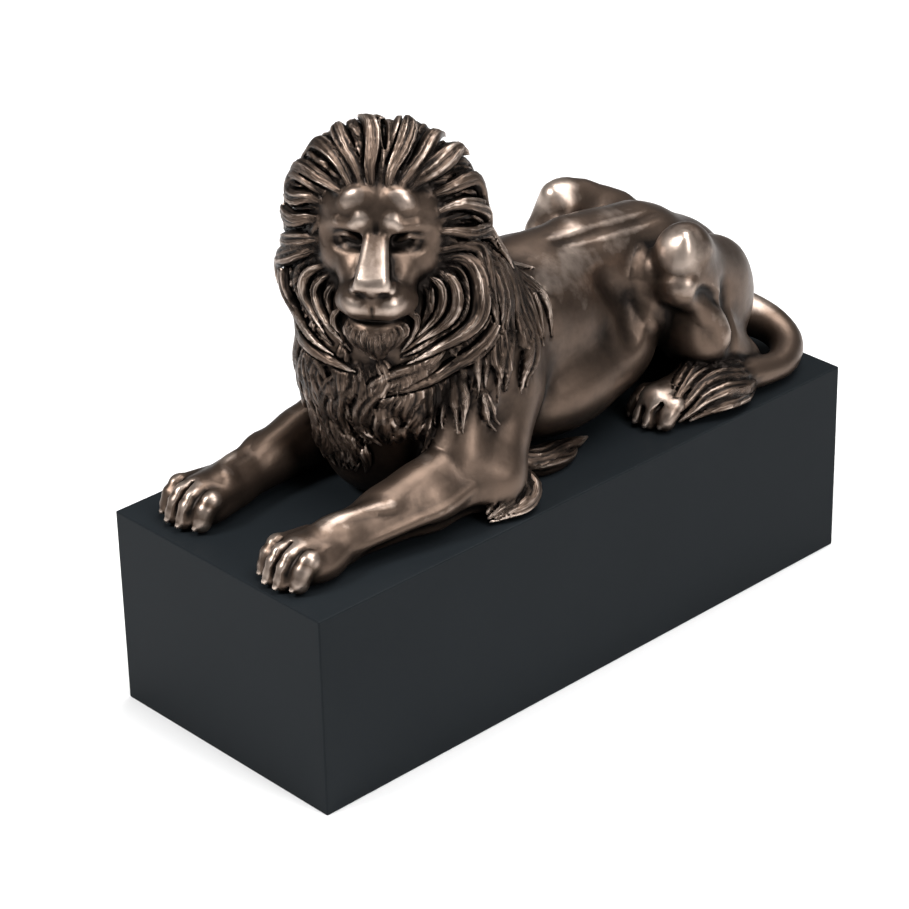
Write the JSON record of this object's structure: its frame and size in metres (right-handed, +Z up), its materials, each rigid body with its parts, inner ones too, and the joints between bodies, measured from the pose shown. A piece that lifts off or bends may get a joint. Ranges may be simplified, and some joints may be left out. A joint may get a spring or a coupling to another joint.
{
  "type": "lion statue",
  "caption": "Cast bronze-finish lion lying with its forelegs stretched out and its head turned to its left, on a plain black oblong plinth.",
  "frame": {"origin": "middle of the plinth's underside", "axes": "+Z up, the lion faces -Y along the plinth's length, +X is the lion's left, the side its head turns to"},
  "size_m": [0.107, 0.26, 0.2155],
  "materials": {
    "bronze": "dark brown bronze patina, satin, rubbed through to a pale pinkish gold on the high points",
    "black_plinth": "matte black paint over a smooth block, edges barely eased"
  },
  "bodies": {
    "root": {"lion": "bronze", "plinth": "black_plinth"}
  },
  "joints": []
}
